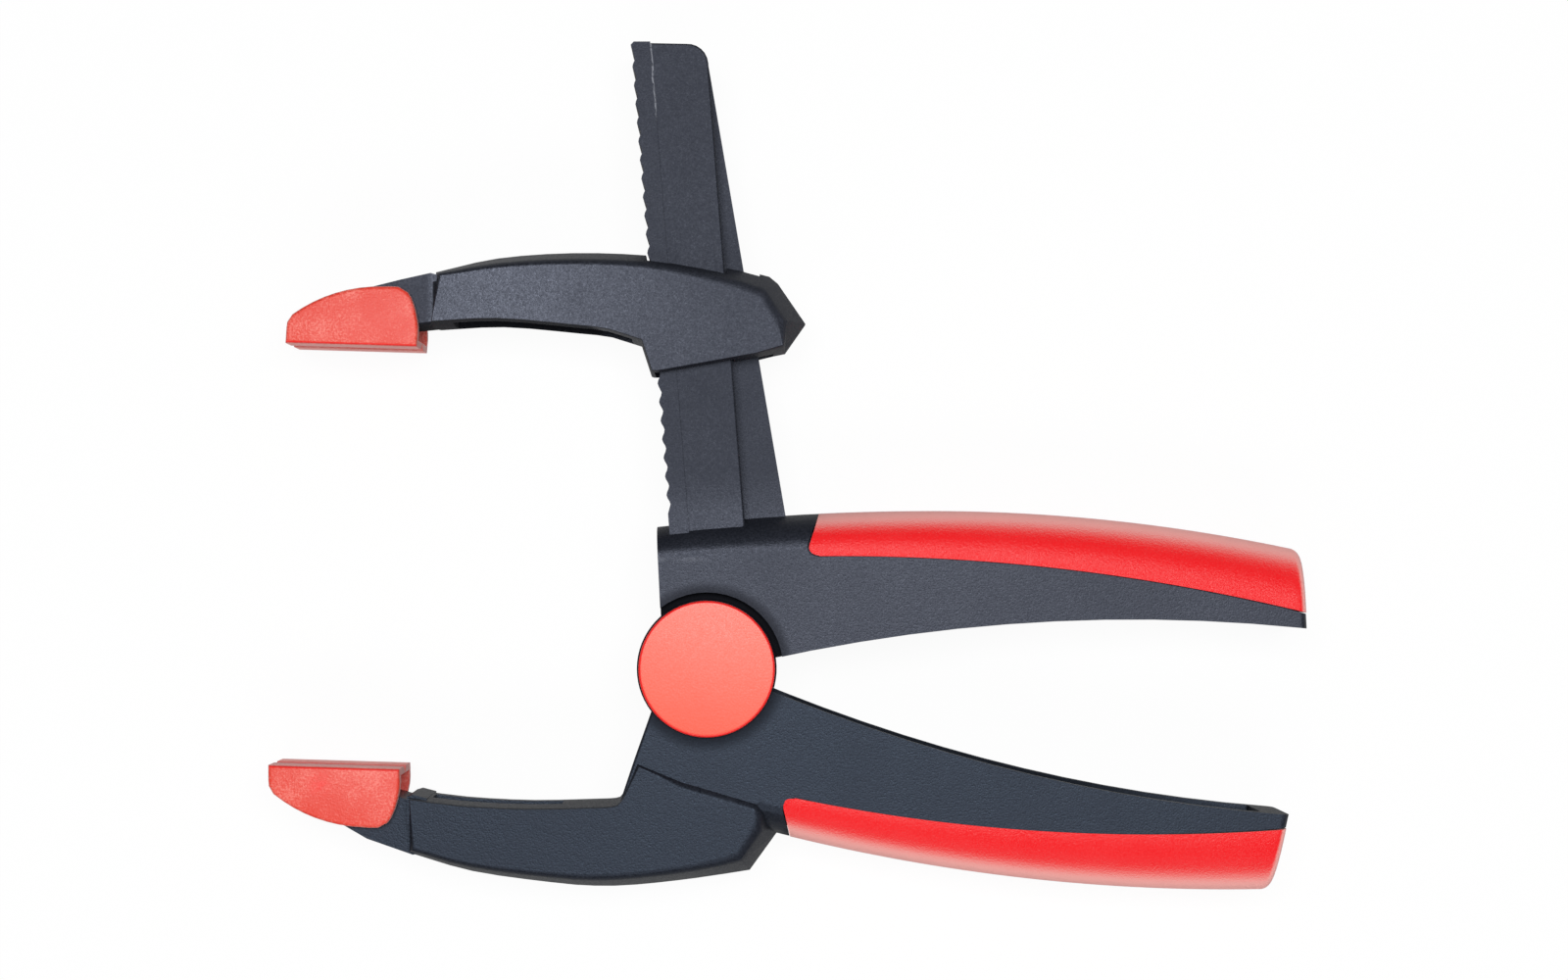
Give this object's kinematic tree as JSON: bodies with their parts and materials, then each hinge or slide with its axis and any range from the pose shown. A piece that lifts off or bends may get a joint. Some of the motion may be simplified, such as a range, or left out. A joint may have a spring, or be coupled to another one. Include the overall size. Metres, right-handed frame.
{
  "type": "spring clamp",
  "caption": "One-hand spring clamp with swivel pads and a jaw that slides on a toothed rail, lying on its side.",
  "frame": {"origin": "centre of the rear pivot cap's outer face, on the pivot axis", "axes": "+X along the handles away from the jaws, +Y up the toothed rail away from the fixed jaw, +Z through the depth towards the front cap"},
  "size_m": [0.174, 0.1427, 0.0246],
  "materials": {
    "lower_body": "blue-black, fine grain",
    "upper_body": "blue-black, fine grain",
    "sliding_jaw": "blue-black, fine grain",
    "lower_grip": "soft, matt",
    "upper_grip": "soft, matt",
    "upper_pad": "soft, matt",
    "lower_pad": "soft, matt",
    "front_cap": "matt",
    "rear_cap": "matt",
    "pivot_tube": "drawn steel",
    "torsion_spring": "drawn wire",
    "upper_pad_pin": "drawn steel",
    "lower_pad_pin": "drawn steel"
  },
  "bodies": {
    "lower": {"lower_body": "lower_body", "lower_grip": "lower_grip", "pivot_tube": "pivot_tube", "rear_cap": "rear_cap", "front_cap": "front_cap", "torsion_spring": "torsion_spring", "lower_pad_pin": "lower_pad_pin"},
    "upper": {"upper_body": "upper_body", "upper_grip": "upper_grip"},
    "slider": {"sliding_jaw": "sliding_jaw", "upper_pad_pin": "upper_pad_pin"},
    "upper_pad": {"upper_pad": "upper_pad"},
    "lower_pad": {"lower_pad": "lower_pad"}
  },
  "joints": [
    {"name": "handle_pivot", "type": "hinge", "parent": "lower", "child": "upper", "pos_m": [0, 0, 0.0123], "axis": [0, 0, -1], "range_deg": [0, 16], "stiffness_Nm_per_rad": 0.4, "springref_deg": -17.19, "deforming": ["torsion_spring"]},
    {"name": "jaw_slide", "type": "slide", "parent": "upper", "child": "slider", "axis": [-0.0793, 0.9968, 0], "range_m": [-0.025, 0.032]},
    {"name": "upper_pad_swivel", "type": "hinge", "parent": "slider", "child": "upper_pad", "pos_m": [-0.05726, 0.06025, 0.0123], "axis": [0, 0, 1], "range_deg": [-15, 8]},
    {"name": "lower_pad_swivel", "type": "hinge", "parent": "lower", "child": "lower_pad", "pos_m": [-0.0605, -0.0226, 0.0123], "axis": [0, 0, 1], "range_deg": [-12, 12]}
  ]
}
